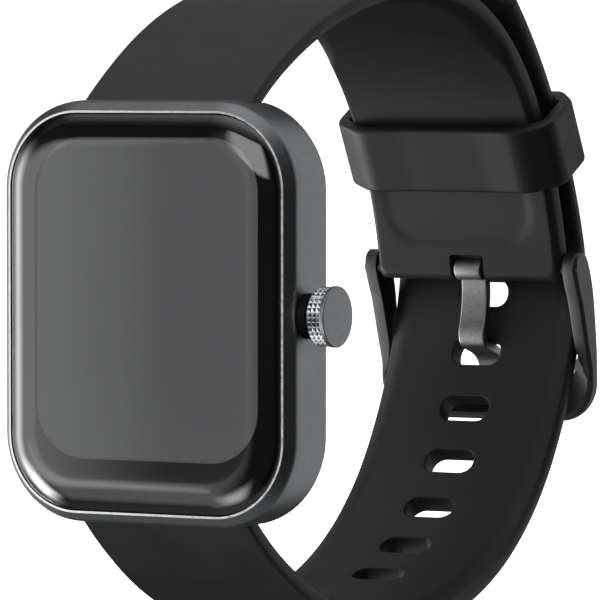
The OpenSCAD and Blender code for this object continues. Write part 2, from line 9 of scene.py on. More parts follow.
import bmesh
import bpy
import numpy as np
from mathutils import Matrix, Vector

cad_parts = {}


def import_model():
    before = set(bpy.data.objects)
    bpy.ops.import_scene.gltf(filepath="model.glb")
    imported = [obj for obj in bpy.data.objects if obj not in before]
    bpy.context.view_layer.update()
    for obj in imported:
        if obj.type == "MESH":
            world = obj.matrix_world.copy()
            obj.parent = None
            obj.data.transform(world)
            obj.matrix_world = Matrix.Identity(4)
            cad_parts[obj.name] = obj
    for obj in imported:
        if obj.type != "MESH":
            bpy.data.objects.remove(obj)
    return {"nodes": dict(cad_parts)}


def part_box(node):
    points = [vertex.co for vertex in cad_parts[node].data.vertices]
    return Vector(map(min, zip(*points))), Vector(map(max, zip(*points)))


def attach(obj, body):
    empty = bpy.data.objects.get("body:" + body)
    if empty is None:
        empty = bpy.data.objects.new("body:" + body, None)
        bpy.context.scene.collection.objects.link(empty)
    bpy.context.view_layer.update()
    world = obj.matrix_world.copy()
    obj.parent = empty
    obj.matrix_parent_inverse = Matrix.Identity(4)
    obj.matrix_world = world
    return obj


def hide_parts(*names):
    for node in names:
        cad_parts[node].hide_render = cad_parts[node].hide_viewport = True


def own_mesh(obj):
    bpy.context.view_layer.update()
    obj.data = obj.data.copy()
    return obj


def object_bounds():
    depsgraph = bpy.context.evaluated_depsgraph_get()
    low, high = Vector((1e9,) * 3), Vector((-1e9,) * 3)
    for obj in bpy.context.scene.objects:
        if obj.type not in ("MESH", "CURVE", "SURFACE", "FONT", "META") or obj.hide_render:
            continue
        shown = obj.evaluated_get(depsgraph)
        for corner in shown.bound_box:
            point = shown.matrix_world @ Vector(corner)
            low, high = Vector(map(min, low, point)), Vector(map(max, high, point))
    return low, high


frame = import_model()
cad_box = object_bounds()

MM = 0.001
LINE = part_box("case_frame")[0][1] / MM  # the frame's Y of depth 0, the bezel line's plane


def node_size(node):
    """A CAD node's lowest and highest corner as (across, depth, height)."""
    low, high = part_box(node)
    shift = Vector((0, LINE, 0))
    return Vector(low) / MM - shift, Vector(high) / MM - shift


def world(p):
    """The position in the frame, in metres, of a point in millimetres."""
    return Vector((p[0], p[1] + LINE, p[2])) * MM


# ---------------------------------------------------------------- sizes

CASE_LOW, CASE_HIGH = node_size("case_frame")
CASE_W = CASE_HIGH[0] - CASE_LOW[0]
CASE_H = CASE_HIGH[2] - CASE_LOW[2]
CASE_D = CASE_HIGH[1]
CASE_R = 9.05
BEZEL_IN = 1.05  # from the case's outline in to the bright line
BEZEL_LINE = 0.25  # the bright line's width
SEAT_IN = BEZEL_IN + BEZEL_LINE
GLASS_IN = SEAT_IN + 0.05
GLASS_DOME = -node_size("cover_glass")[0][1]
# The case's openings behind the glass and at the back, as width, height and corner radius
FRONT_OPENING = (29, 37.8, 6.4)
BACK_OPENING = (CASE_W - 3.8, 32, 5.5)
# The front and back of the shelf that carries the glass
SHELF_FRONT = 1.05
SHELF_BACK = 2.2
# The pockets for the strap's ends: half their width, the depth and the height where they begin
POCKET_HALF = 10.2
POCKET_FRONT = 3.4
POCKET_HEIGHT = 17.3
COVER_IN = 0.35
COVER_FRONT = CASE_D + 0.02
COVER_BACK = COVER_FRONT + 1.7
BACK = node_size("sensor_window")[1][1]
SCREWS = [(x, z) for x in (-13, 13) for z in (-14.2, 14.2)]
PINS = ((-1.4, -13.2), (1.4, -13.2))

CROWN_R = 3.1
CROWN_DEPTH = 3.07
CROWN_IN = node_size("crown_knob")[0][0]
CROWN_OUT = node_size("crown_knob")[1][0]
CAP_OUT = node_size("crown_cap")[1][0]
COLLAR_OUT = node_size("crown_bushing")[1][0]
KNURL_ROWS = 3
KNURL_TEETH = 36

STRAP_W = 20  # at the case
STRAP_WIDE = 23.2  # at the buckle
HALF_T = 1.2  # half the strap's thickness
LUG = (5.4, 19.6)  # depth and height of the spring bars
LUG_R = 1.75
# Centre lines of the strap halves in (depth, height): a start, a heading and (radius, sweep) arcs
UPPER = ((5.95, 21), 37.9, ((56.3, 39.5), (27.7, 53.6), (46.5, 25.1)))
LOWER = ((5.25, 21), 42.5, ((49.3, 26.3), (42.6, 40.4), (34.6, 30.7), (47, 25), (9.9, 27.3),
                            (61.2, 35.2)))
STRAP_START = -2.4  # both halves begin inside their thick ends, before their centre lines
FIRST_SLICE = -1.8
TIP_R = 14  # the long half's rounded end
HOLE_IN_USE = 83.4  # distance along the long half
HOLE_PITCH = 7
HOLE_W, HOLE_H, HOLE_R = 6, 3.1, 1.4
CUT_HALF = 4  # half the height of a cutter that goes right through the strap

LOOP_CENTRE = 38  # depth of the loop's centre where the keeper sits, at height 0
LOOP_R = 34  # where the keeper's length is measured
KEEPER_REST = 54  # distance along the short half
KEEPER_ANGLES = (21.6, 35)  # degrees round the loop's centre, up from straight back

BAR = (71.7, 2.3)  # depth and height of the bar the buckle turns on
TONGUE_HALF = 1.65  # half the tongue's width


# ---------------------------------------------------------------- shape helpers

def clamp(value):
    return min(max(value, 0), 1)


def fillet(corners, radii, steps):
    """Rounds the inner corners of a polyline of 2D points, each with its own radius."""
    out = [corners[0]]
    for i in range(1, len(corners) - 1):
        a, b, c = (np.array(corners[j], float) for j in (i - 1, i, i + 1))
        u, v = a - b, c - b
        lu, lv = np.linalg.norm(u), np.linalg.norm(v)
        u, v = u / lu, v / lv
        half = math.acos(max(-1, min(1, float(u @ v)))) / 2
        reach = min(radii[i - 1] / math.tan(half), 0.48 * lu, 0.48 * lv)
        start, end = b + u * reach, b + v * reach
        for k in range(steps + 1):
            t = k / steps
            out.append(tuple((1 - t) ** 2 * start + 2 * t * (1 - t) * b + t * t * end))
    out.append(corners[-1])
    return out


def smooth_line(points, steps=8):
    """A Catmull-Rom curve through points of any dimension."""
    p = [np.array(q, float) for q in points]
    p = [2 * p[0] - p[1]] + p + [2 * p[-1] - p[-2]]
    out = []
    for i in range(1, len(p) - 2):
        a, b, c, d = p[i - 1:i + 3]
        for k in range(steps):
            t = k / steps
            out.append(0.5 * (2 * b + (c - a) * t + (2 * a - 5 * b + 4 * c - d) * t ** 2
                              + (3 * b - a - 3 * c + d) * t ** 3))
    out.append(p[-2])
    return out


def rounded_rect(w, h, r, steps=20):
    """Points (across, height) round a rounded rectangle."""
    points = []
    for sx, sz, start in ((1, 1, 0), (-1, 1, 90), (-1, -1, 180), (1, -1, 270)):
        for k in range(steps + 1):
            a = math.radians(start + 90 * k / steps)
            points.append((sx * (w / 2 - r) + r * math.cos(a), sz * (h / 2 - r) + r * math.sin(a)))
    return points


def rect_ring(w, h, r, depth):
    return [(x, depth, z) for x, z in rounded_rect(w, h, r)]


def case_ring(inset, depth):
    """The case outline drawn in by inset, at a depth."""
    return rect_ring(CASE_W - 2 * inset, CASE_H - 2 * inset, CASE_R - inset, depth)


def loft(rings, closed=False):
    """Joins rings of equally many points; the ends get caps, or are joined up if closed."""
    n = len(rings[0])
    count = len(rings)
    faces = []
    for i in range(count if closed else count - 1):
        a, b = i * n, (i + 1) % count * n
        faces += [(a + k, a + (k + 1) % n, b + (k + 1) % n, b + k) for k in range(n)]
    if not closed:
        faces.append(tuple(reversed(range(n))))
        faces.append(tuple(range((count - 1) * n, count * n)))
    return [p for ring in rings for p in ring], faces


def lathe(profile, centre, axis, steps):
    """Turns (radius, distance) points about an axis.

    The axis "x" runs across through a (depth, height) centre, "y" back through (across, height).
    """
    rings = []
    for r, along in profile:
        ring = []
        for k in range(steps):
            a = 2 * math.pi * k / steps
            u, v = centre[0] + r * math.cos(a), centre[1] + r * math.sin(a)
            ring.append((along, u, v) if axis == "x" else (u, along, v))
        rings.append(ring)
    return loft(rings)


def join(*shapes):
    """Puts several (points, faces) shapes into one."""
    points, faces = [], []
    for p, f in shapes:
        shift = len(points)
        points += list(p)
        faces += [tuple(i + shift for i in face) for face in f]
    return points, faces


def edit_mesh(obj, change, *values):
    """Runs change(bm, *values) on an object's mesh."""
    bm = bmesh.new()
    bm.from_mesh(obj.data)
    change(bm, *values)
    bm.to_mesh(obj.data)
    bm.free()


def new_object(name, shape, scale=True):
    """A mesh object with outward normals; scale turns millimetres and depths into the frame."""
    points, faces = shape
    mesh = bpy.data.meshes.new(name)
    mesh.from_pydata([world(p) if scale else p for p in points], [], faces)
    obj = bpy.data.objects.new(name, mesh)
    bpy.context.scene.collection.objects.link(obj)
    edit_mesh(obj, lambda bm: bmesh.ops.recalc_face_normals(bm, faces=bm.faces))
    return obj


def apply_modifiers(obj):
    graph = bpy.context.evaluated_depsgraph_get()
    mesh = bpy.data.meshes.new_from_object(obj.evaluated_get(graph))
    obj.modifiers.clear()
    old = obj.data
    obj.data = mesh
    bpy.data.meshes.remove(old)


def cut(obj, *cutters):
    """Cuts closed shapes out of an object and removes the cutters."""
    for cutter in cutters:
        m = obj.modifiers.new("cut", "BOOLEAN")
        m.operation = "DIFFERENCE"
        m.solver = "EXACT"
        m.object = cutter
    bpy.context.view_layer.update()
    apply_modifiers(obj)
    for cutter in cutters:
        bpy.data.objects.remove(cutter)


def merge(obj, other):
    """Puts the mesh of another object into obj and removes the other."""
    edit_mesh(obj, lambda bm: bm.from_mesh(other.data))
    bpy.data.objects.remove(other)


def shade(obj, angle, weighted=True):
    """Smooth shading with sharp edges above an angle."""
    mesh = obj.data
    mesh.polygons.foreach_set("use_smooth", [True] * len(mesh.polygons))
    mesh.set_sharp_from_angle(angle=math.radians(angle))
    if weighted:
        m = obj.modifiers.new("weighted", "WEIGHTED_NORMAL")
        m.keep_sharp = True
        m.weight = 60


def box_shape(low, high, r):
    """A box between two corners, its edges along the depth axis rounded by r."""
    cx, cz = (high[0] + low[0]) / 2, (high[2] + low[2]) / 2
    outline = rounded_rect(high[0] - low[0], high[2] - low[2], r, 6)
    return loft([[(cx + x, y, cz + z) for x, z in outline] for y in (low[1], high[1])])


# ---------------------------------------------------------------- materials

def with_alpha(colour):
    return (*colour, 1)


class Look:
    """One procedural material: a Principled shader with helpers that wire its detail."""

    def __init__(self, name, colour, roughness, metallic=0.0, **fixed):
        self.material = bpy.data.materials.new(name)
        self.material.use_nodes = True
        self.tree = self.material.node_tree
        self.shader = self.tree.nodes["Principled BSDF"]
        self.base = colour
        self.shader.inputs["Base Color"].default_value = with_alpha(colour)
        self.shader.inputs["Roughness"].default_value = roughness
        self.shader.inputs["Metallic"].default_value = metallic
        for socket, value in fixed.items():
            self.shader.inputs[socket.replace("_", " ")].default_value = value
        self.place = self.tree.nodes.new("ShaderNodeTexCoord").outputs["Object"]
        self.normal = None

    def node(self, kind, **settings):
        n = self.tree.nodes.new(kind)
        for key, value in settings.items():
            setattr(n, key, value)
        return n

    def link(self, a, b):
        self.tree.links.new(a, b)

    def noise(self, size, detail, stretch=(1, 1, 1)):
        """Noise whose features are about size millimetres across."""
        mapping = self.node("ShaderNodeMapping")
        mapping.inputs["Scale"].default_value = stretch
        self.link(self.place, mapping.inputs["Vector"])
        n = self.node("ShaderNodeTexNoise")
        n.inputs["Scale"].default_value = 1 / (size * MM)
        n.inputs["Detail"].default_value = detail
        self.link(mapping.outputs["Vector"], n.inputs["Vector"])
        return n.outputs["Fac"]

    def cells(self, size):
        """The distance from scattered points about size millimetres apart."""
        n = self.node("ShaderNodeTexVoronoi")
        n.inputs["Scale"].default_value = 1 / (size * MM)
        self.link(self.place, n.inputs["Vector"])
        return n.outputs["Distance"]

    def ramp(self, value, low, high, out_low=0.0, out_high=1.0):
        """Maps values from low to high onto out_low to out_high, and no further."""
        n = self.node("ShaderNodeMapRange")
        for socket, number in (("From Min", low), ("From Max", high),
                               ("To Min", out_low), ("To Max", out_high)):
            n.inputs[socket].default_value = number
        self.link(value, n.inputs["Value"])
        return n.outputs["Result"]

    def tint(self, amount, other):
        """Mixes another colour into the base by a 0 to 1 value."""
        socket = self.shader.inputs["Base Color"]
        mix = self.node("ShaderNodeMix", data_type="RGBA")
        if socket.is_linked:
            self.link(socket.links[0].from_socket, mix.inputs["A"])
        else:
            mix.inputs["A"].default_value = with_alpha(self.base)
        mix.inputs["B"].default_value = with_alpha(other)
        self.link(amount, mix.inputs["Factor"])
        self.link(mix.outputs["Result"], socket)
        return self

    def vary(self, size, amount, detail=3.0):
        """Cloudy lightening and darkening of the base colour."""
        bright = tuple(min(1, c * (1 + amount)) for c in self.base)
        dark = tuple(c * (1 - amount) for c in self.base)
        field = self.noise(size, detail)
        self.tint(self.ramp(field, 0.35, 0.65), dark)
        return self.tint(self.ramp(self.noise(size * 0.6, detail), 0.5, 0.8), bright)

    def rough(self, size, low, high, stretch=(1, 1, 1)):
        """Lets the roughness wander between low and high."""
        value = self.ramp(self.noise(size, 4, stretch), 0.3, 0.7, low, high)
        self.link(value, self.shader.inputs["Roughness"])
        return self

    def bump(self, height, depth, strength):
        """Adds relief of depth millimetres from a 0 to 1 height."""
        n = self.node("ShaderNodeBump")
        n.inputs["Strength"].default_value = strength
        n.inputs["Distance"].default_value = depth * MM
        self.link(height, n.inputs["Height"])
        if self.normal:
            self.link(self.normal, n.inputs["Normal"])
        self.normal = n.outputs["Normal"]
        self.link(self.normal, self.shader.inputs["Normal"])
        return self

    def grain(self, size, depth, strength, stretch=(1, 1, 1)):
        return self.bump(self.noise(size, 2, stretch), depth, strength)


def silicone(name, colour, roughness):
    """Moulded silicone: a fine matte skin, cloudy handling marks and a few dust specks."""
    look = Look(name, colour, roughness, Specular_IOR_Level=0.28)
    look.vary(9, 0.10).vary(0.26, 0.16, 2)
    look.rough(5, roughness - 0.05, roughness + 0.06)
    dust = look.ramp(look.cells(1.9), 0.045, 0.02)
    look.tint(look.ramp(dust, 0, 1, 0, 0.25), tuple(min(1, c * 4) for c in colour))
    return look.grain(0.09, 0.006, 0.5).grain(0.5, 0.004, 0.35).material


def blasted_metal(name, colour, roughness, grain, depth, speckle=0.1):
    """Bead-blasted, anodised metal: tiny pits with a soft sparkle."""
    look = Look(name, colour, roughness, 1.0)
    look.vary(0.24, speckle, 2).vary(12, 0.04)
    look.rough(0.3, roughness - 0.05, roughness + 0.07)
    return look.grain(grain, depth, 0.8).material


def polished_metal(name, colour, roughness):
    look = Look(name, colour, roughness, 1.0)
    look.vary(2.5, 0.05)
    look.rough(0.6, roughness * 0.7, roughness * 1.4)
    return look.grain(0.12, 0.001, 0.5).material


def turned_metal(name, colour, roughness, centre):
    """Metal faced on a lathe: fine rings about the crown's axis."""
    look = Look(name, colour, roughness, 1.0)
    move = look.node("ShaderNodeMapping")
    move.inputs["Location"].default_value = -world(centre)
    look.link(look.place, move.inputs["Vector"])
    wave = look.node("ShaderNodeTexWave", wave_type="RINGS", rings_direction="X")
    wave.inputs["Scale"].default_value = 1 / (0.7 * MM)
    wave.inputs["Distortion"].default_value = 0.4
    look.link(move.outputs["Vector"], wave.inputs["Vector"])
    look.vary(0.2, 0.06, 2)
    look.rough(0.8, roughness - 0.04, roughness + 0.06)
    return look.bump(wave.outputs["Fac"], 0.002, 0.35).grain(0.06, 0.002, 0.5).material


def moulded_plastic(name, colour, roughness):
    look = Look(name, colour, roughness, Specular_IOR_Level=0.5)
    look.vary(4, 0.12)
    look.rough(3, roughness - 0.06, roughness + 0.06)
    return look.bump(look.cells(0.16), 0.006, 0.5).grain(0.6, 0.003, 0.3).material


def clear_glass(name, alpha, ior):
    """Smoked glass with the faintest handling haze; alpha sets how much it hides."""
    look = Look(name, (0.002, 0.002, 0.002), 0.015, IOR=ior, Alpha=alpha)
    return look.vary(9, 0.3).rough(8, 0.008, 0.022).material


def screen_with_painted_light(name):
    """A switched-off liquid-crystal screen; painted light makes it darker at the edge away from the
    crown.
    """
    look = Look(name, (0.1, 0.101, 0.105), 0.5, Specular_IOR_Level=0.1)
    across = look.node("ShaderNodeSeparateXYZ")
    look.link(look.place, across.inputs["Vector"])
    look.vary(16, 0.03)
    # Painted light: the colour lightens from the edge away from the crown towards the middle, for how
    # the studio light falls over the screen.
    look.tint(look.ramp(across.outputs["X"], -0.014, -0.003), (0.205, 0.207, 0.213))
    return look.rough(5, 0.45, 0.55).material


def black_ink(name):
    """Flat black print or paint."""
    look = Look(name, (0.0035, 0.0035, 0.004), 0.6, Specular_IOR_Level=0.05)
    return look.vary(3, 0.3).rough(2, 0.5, 0.7).material


def circuit(name, colour):
    """Solder mask with copper tracks showing through as a lighter pattern."""
    look = Look(name, colour, 0.35)
    tracks = look.node("ShaderNodeTexBrick")
    tracks.inputs["Scale"].default_value = 1 / (3.2 * MM)
    tracks.inputs["Mortar Size"].default_value = 0.03
    look.link(look.place, tracks.inputs["Vector"])
    look.tint(look.ramp(tracks.outputs["Fac"], 0, 1, 0, 0.7), tuple(c * 2.4 for c in colour))
    pads = look.ramp(look.cells(1.1), 0.16, 0.1)
    look.tint(pads, (0.5, 0.42, 0.25))
    return look.rough(1, 0.3, 0.45).grain(0.3, 0.01, 0.4).material


def foil(name, colour):
    look = Look(name, colour, 0.32, 0.9)
    look.vary(2, 0.08)
    return look.rough(1, 0.25, 0.42).grain(1.6, 0.12, 0.5).grain(0.3, 0.01, 0.4).material


def rubber_seal(name, colour):
    return Look(name, colour, 0.6).vary(1, 0.15).rough(0.8, 0.5, 0.7).grain(0.15, 0.01, 0.5).material


def wire_steel(name):
    """Drawn steel with lines along its length."""
    look = Look(name, (0.55, 0.55, 0.56), 0.28, 1.0)
    look.vary(0.8, 0.1)
    return look.rough(0.2, 0.2, 0.38, (0.1, 1, 1)).grain(0.08, 0.003, 0.6, (0.1, 1, 1)).material


def window_glass(name):
    look = Look(name, (0.012, 0.012, 0.016), 0.06, Coat_Weight=0.5)
    return look.vary(3, 0.2).rough(4, 0.04, 0.09).grain(9, 0.002, 0.2).material


def lamp_package(name):
    look = Look(name, (0.55, 0.62, 0.45), 0.2, Coat_Weight=0.4)
    return look.vary(0.4, 0.3).rough(0.4, 0.15, 0.3).grain(0.2, 0.01, 0.4).material


CASE_METAL = blasted_metal("case_metal", (0.235, 0.242, 0.25), 0.36, 0.11, 0.008)
BRIGHT_LINE = polished_metal("bezel_line", (0.86, 0.87, 0.88), 0.16)
BUCKLE_METAL = blasted_metal("buckle_metal", (0.10, 0.10, 0.102), 0.46, 0.17, 0.02, 0.35)
TONGUE_METAL = blasted_metal("tongue_metal", (0.27, 0.27, 0.275), 0.42, 0.17, 0.02, 0.25)
KNURL_METAL = polished_metal("crown_metal", (0.85, 0.86, 0.88), 0.15)
CAP_METAL = turned_metal("crown_cap_metal", (0.26, 0.265, 0.27), 0.42, (CAP_OUT, CROWN_DEPTH, 0))
STEEL = wire_steel("small_steel")
GOLD = polished_metal("gold_plate", (0.83, 0.60, 0.25), 0.22)
NICKEL = polished_metal("magnet_nickel", (0.6, 0.58, 0.54), 0.18)
SILICONE = silicone("silicone", (0.0122, 0.0122, 0.0126), 0.5)
KEEPER_SILICONE = silicone("keeper_silicone", (0.0135, 0.0135, 0.014), 0.48)
PLASTIC = moulded_plastic("black_plastic", (0.018, 0.018, 0.019), 0.46)
# Painted shade: the crown's sleeve is flat black, partly its own dark colour and partly standing in for
# the shade in the gap between the case and the knurl.
COLLAR = black_ink("collar_painted_shade_black")
GLASS = clear_glass("glass", 0.45, 2.75)
GLASS_INSIDE = clear_glass("glass_inside", 0.03, 1.5)
SCREEN = screen_with_painted_light("display")
INK = black_ink("black_print")
WINDOW = window_glass("sensor_glass")
BOARD = circuit("circuit_board", (0.012, 0.09, 0.045))
CHIP = moulded_plastic("chip_plastic", (0.02, 0.02, 0.021), 0.5)
FOIL = foil("battery_foil", (0.62, 0.63, 0.65))
TIN = foil("tin_plate", (0.58, 0.58, 0.56))
WHITE_FILM = moulded_plastic("white_film", (0.75, 0.76, 0.77), 0.4)
FLEX = moulded_plastic("flex_film", (0.42, 0.2, 0.05), 0.3)
ADHESIVE = rubber_seal("adhesive", (0.015, 0.015, 0.015))
RED_SEAL = rubber_seal("seal_rubber", (0.25, 0.03, 0.02))
BLACK_SEAL = rubber_seal("black_rubber", (0.015, 0.015, 0.015))
NYLON = moulded_plastic("plunger_plastic", (0.62, 0.62, 0.58), 0.45)
LAMP = lamp_package("led_white")

CAD_LOOKS = {
    "glass_border": INK, "glass_adhesive": ADHESIVE, "display_panel": SCREEN, "backlight": WHITE_FILM,
    "display_flex": FLEX, "inner_chassis": PLASTIC, "main_board": BOARD, "board_shield": TIN,
    "board_chips": CHIP, "battery": FOIL, "vibration_motor": STEEL, "back_gasket": RED_SEAL,
    "sensor_board": BOARD, "sensor_leds": LAMP, "charging_magnets": NICKEL, "crown_stem": STEEL,
    "crown_seal": BLACK_SEAL, "crown_clip": STEEL, "crown_switch": CHIP, "crown_plunger": NYLON,
    "upper_bar_tube": STEEL, "upper_bar_tip": STEEL, "upper_release_pin": STEEL,
    "lower_bar_tube": STEEL, "lower_bar_tip": STEEL, "lower_release_pin": STEEL,
}


def stands_for(obj, node, body, material):
    """Gives a piece its look and says which CAD node it replaces and which body it rides on."""
    if not obj.data.materials:
        obj.data.materials.append(material)
    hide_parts(node)
    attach(obj, body)


def dress_cad_nodes():
    """Gives their looks to the CAD nodes that no piece replaces."""
    for node, material in CAD_LOOKS.items():
        mesh = frame["nodes"][node].data
        mesh.materials.clear()
        mesh.materials.append(material)


# ---------------------------------------------------------------- case

def pocket_cutter(side):
    """Cuts the pocket for a strap's end, at the top for side 1 and at the bottom for -1."""
    outside = 30
    low = (-POCKET_HALF, POCKET_FRONT, POCKET_HEIGHT if side > 0 else -outside)
    high = (POCKET_HALF, CASE_D + 4, outside if side > 0 else -POCKET_HEIGHT)
    return new_object("cutter", box_shape(low, high, 0.5))


def build_case():
    """A closed band: from the shelf out over the bezel line, down the side wall and back inside."""
    side = fillet([(BEZEL_IN - 0.02, 0.03), (0.14, 0.98), (0, 2.2)], [1.1], 8)
    rear = fillet([(0, CASE_D - 0.8), (0, CASE_D), (0.7, CASE_D)], [0.3], 5)
    rings = [rect_ring(*FRONT_OPENING, SHELF_BACK), rect_ring(*FRONT_OPENING, SHELF_FRONT)]
    rings += [case_ring(SEAT_IN, SHELF_FRONT), case_ring(SEAT_IN, 0.06), case_ring(SEAT_IN - 0.03, 0.0)]
    line_ring = len(rings) - 1
    rings += [case_ring(BEZEL_IN, 0.0)]
    rings += [case_ring(d, y) for d, y in side + rear]
    rings += [rect_ring(*BACK_OPENING, CASE_D), rect_ring(*BACK_OPENING, SHELF_BACK)]
    obj = new_object("case_body", loft(rings, closed=True))
    mesh = obj.data
    for material in (CASE_METAL, BRIGHT_LINE, INK):
        mesh.materials.append(material)
    bright, black = 1, 2
    # The faces come ring by ring: black inside the seat, then bright over the line and its edge
    n = len(rings[0])
    for k in range((line_ring + 1) * n):
        mesh.polygons[k].material_index = bright if k >= (line_ring - 1) * n else black
    cut(obj, pocket_cutter(1), pocket_cutter(-1))
    shade(obj, 40)
    stands_for(obj, "case_frame", "watch", CASE_METAL)


def build_glass():
    """A cap of glass: a flat front whose edge curves back, and a rim that stands on the shelf."""
    reach, steps = 3.4, 18
    steepest = 2 * math.atan((GLASS_DOME + 0.05) / reach)
    r = reach / math.sin(steepest)
    wall, rim_back = 0.85, 0.95
    edge = [(0, rim_back), (0, 0.35), (0, 0.12), (0.03, 0.07)]
    for k in range(1, steps + 1):
        a = steepest * (1 - k / steps)
        edge.append((reach - r * math.sin(a), r * (1 - math.cos(a)) - GLASS_DOME))
    edge.append((reach + 0.4, -GLASS_DOME))
    rings = [case_ring(GLASS_IN + wall, y) for y in (0.3, rim_back)]
    rings += [case_ring(GLASS_IN + d, y) for d, y in edge]
    obj = new_object("glass_dome", loft(rings))
    mesh = obj.data
    mesh.materials.append(GLASS)
    mesh.materials.append(GLASS_INSIDE)
    hidden_rings = 3
    for face in mesh.polygons:
        if max(face.vertices) < hidden_rings * len(rings[0]):
            face.material_index = 1
    shade(obj, 50)
    stands_for(obj, "cover_glass", "watch", GLASS)


def build_cover():
    """The back cover, with wells for the screws and a hump round the sensor window."""
    edge = fillet([(COVER_IN, COVER_FRONT), (COVER_IN, COVER_FRONT + 0.7), (1.9, COVER_BACK),
                   (4, COVER_BACK)], [0.6, 2.2], 7)
    obj = new_object("back_shell", loft([case_ring(d, y) for d, y in edge]))
    well = [(1.15, COVER_BACK - 0.75), (1.15, COVER_BACK - 0.1), (1.35, COVER_BACK + 0.1)]
    wells = [new_object("cutter", lathe(well, spot, "y", 32)) for spot in SCREWS]
    cut(obj, pocket_cutter(1), pocket_cutter(-1), *wells)
    hump = fillet([(11.6, COVER_BACK - 0.1), (11.2, COVER_BACK), (10.4, COVER_BACK + 0.5),
                   (9.6, BACK - 0.3), (8.55, BACK - 0.3), (8.55, BACK - 0.6), (8, BACK - 0.6)],
                  [0.3, 0.6, 0.5, 0.1, 0.1], 5)
    merge(obj, new_object("hump", lathe(hump, (0, 0), "y", 128)))
    shade(obj, 40)
    stands_for(obj, "back_cover", "watch", PLASTIC)


def build_window():
    profile = fillet([(0.01, BACK - 0.5), (8.4, BACK - 0.5), (8.4, BACK - 0.08), (7.6, BACK),
                      (0.01, BACK)], [0.1, 0.15, 1.2], 5)
    obj = new_object("sensor_lens", lathe(profile, (0, 0), "y", 128))
    shade(obj, 40)
    stands_for(obj, "sensor_window", "watch", WINDOW)


def build_screws():
    """The four screws, each with a pointed end and a cross slot in its head."""
    head, head_r, shank_r = COVER_BACK - 0.12, 1.08, 0.5
    profile = fillet([(shank_r, 4.6), (shank_r, head - 0.5), (head_r, head - 0.5), (head_r, head),
                      (0.01, head)], [0.02, 0.05, 0.12], 3)
    profile = [(0.01, 4.4)] + profile
    obj = new_object("cover_screws", join(*[lathe(profile, spot, "y", 32) for spot in SCREWS]))
    slots = []
    for cx, cz in SCREWS:
        for half_x, half_z in ((0.62, 0.14), (0.14, 0.62)):
            low = (cx - half_x, head - 0.3, cz - half_z)
            high = (cx + half_x, head + 0.3, cz + half_z)
            slots.append(new_object("cutter", box_shape(low, high, 0.1)))
    cut(obj, *slots)
    shade(obj, 40)
    stands_for(obj, "back_screws", "watch", STEEL)


def build_pins():
    start, flange, end = 6.4, 7.3, COVER_BACK + 0.05
    profile = fillet([(0.01, start), (0.5, start), (0.5, flange), (0.88, flange), (0.88, end),
                      (0.01, end)], [0.05, 0.02, 0.05, 0.2], 4)
    obj = new_object("contacts", join(*[lathe(profile, spot, "y", 40) for spot in PINS]))
    shade(obj, 40)
    stands_for(obj, "charging_pins", "watch", GOLD)


# ---------------------------------------------------------------- crown

def build_knob():
    """The knurled ring: rows of small four-sided pyramids round a core."""
    valley, peak = CROWN_R - 0.24, CROWN_R - 0.06
    start, end = CROWN_IN + 0.04, CROWN_OUT - 0.02
    step = (end - start) / KNURL_ROWS
    points, faces = [], []

    def on_ring(x, r, turn):
        a = 2 * math.pi * turn / KNURL_TEETH
        return (x, CROWN_DEPTH + r * math.cos(a), r * math.sin(a))

    for row in range(KNURL_ROWS + 1):
        points += [on_ring(start + row * step, valley, k) for k in range(KNURL_TEETH)]
    for row in range(KNURL_ROWS):
        for k in range(KNURL_TEETH):
            tip = len(points)
            points.append(on_ring(start + (row + 0.5) * step, peak, k + 0.5))
            a, b = row * KNURL_TEETH + k, row * KNURL_TEETH + (k + 1) % KNURL_TEETH
            c, d = a + KNURL_TEETH, b + KNURL_TEETH
            faces += [(a, b, tip), (b, d, tip), (d, c, tip), (c, a, tip)]
    last = KNURL_ROWS * KNURL_TEETH
    faces += [tuple(range(KNURL_TEETH)), tuple(range(last, last + KNURL_TEETH))]
    teeth = new_object("crown_ring", (points, faces))
    shade(teeth, 5, weighted=False)
    core_r = valley - 0.02
    core = fillet([(0.01, CROWN_IN), (core_r, CROWN_IN), (core_r, CROWN_OUT), (0.01, CROWN_OUT)],
                  [0.1, 0.02], 4)
    merge(teeth, new_object("core", lathe(core, (CROWN_DEPTH, 0), "x", 96)))
    stands_for(teeth, "crown_knob", "crown", KNURL_METAL)


def build_cap():
    inside = CROWN_OUT + 0.01
    r = CROWN_R - 0.02
    profile = fillet([(0.01, inside), (r, inside), (r, CAP_OUT), (0.01, CAP_OUT)], [0.05, 0.13], 6)
    obj = new_object("crown_face", lathe(profile, (CROWN_DEPTH, 0), "x", 128))
    shade(obj, 40)
    stands_for(obj, "crown_cap", "crown", CAP_METAL)


def build_collar():
    """The sleeve the crown's stem runs in, with a flange outside the case; its flat black is partly its
    own dark colour and partly painted shade for the gap between case and knurl.
    """
    inner_end, wall = 14.6, CASE_W / 2 + 0.02
    bore, sleeve, flange = 0.86, 1.48, 2.3
    profile = fillet([(bore, inner_end), (sleeve, inner_end), (sleeve, wall), (flange, wall),
                      (flange, COLLAR_OUT), (bore, COLLAR_OUT)], [0.1, 0.02, 0.1, 0.25], 5)
    obj = new_object("crown_collar", lathe(profile, (CROWN_DEPTH, 0), "x", 96))
    shade(obj, 40)
    stands_for(obj, "crown_bushing", "watch", COLLAR)


# ---------------------------------------------------------------- strap

def path_length(path):
    return sum(r * math.radians(a) for r, a in path[2])


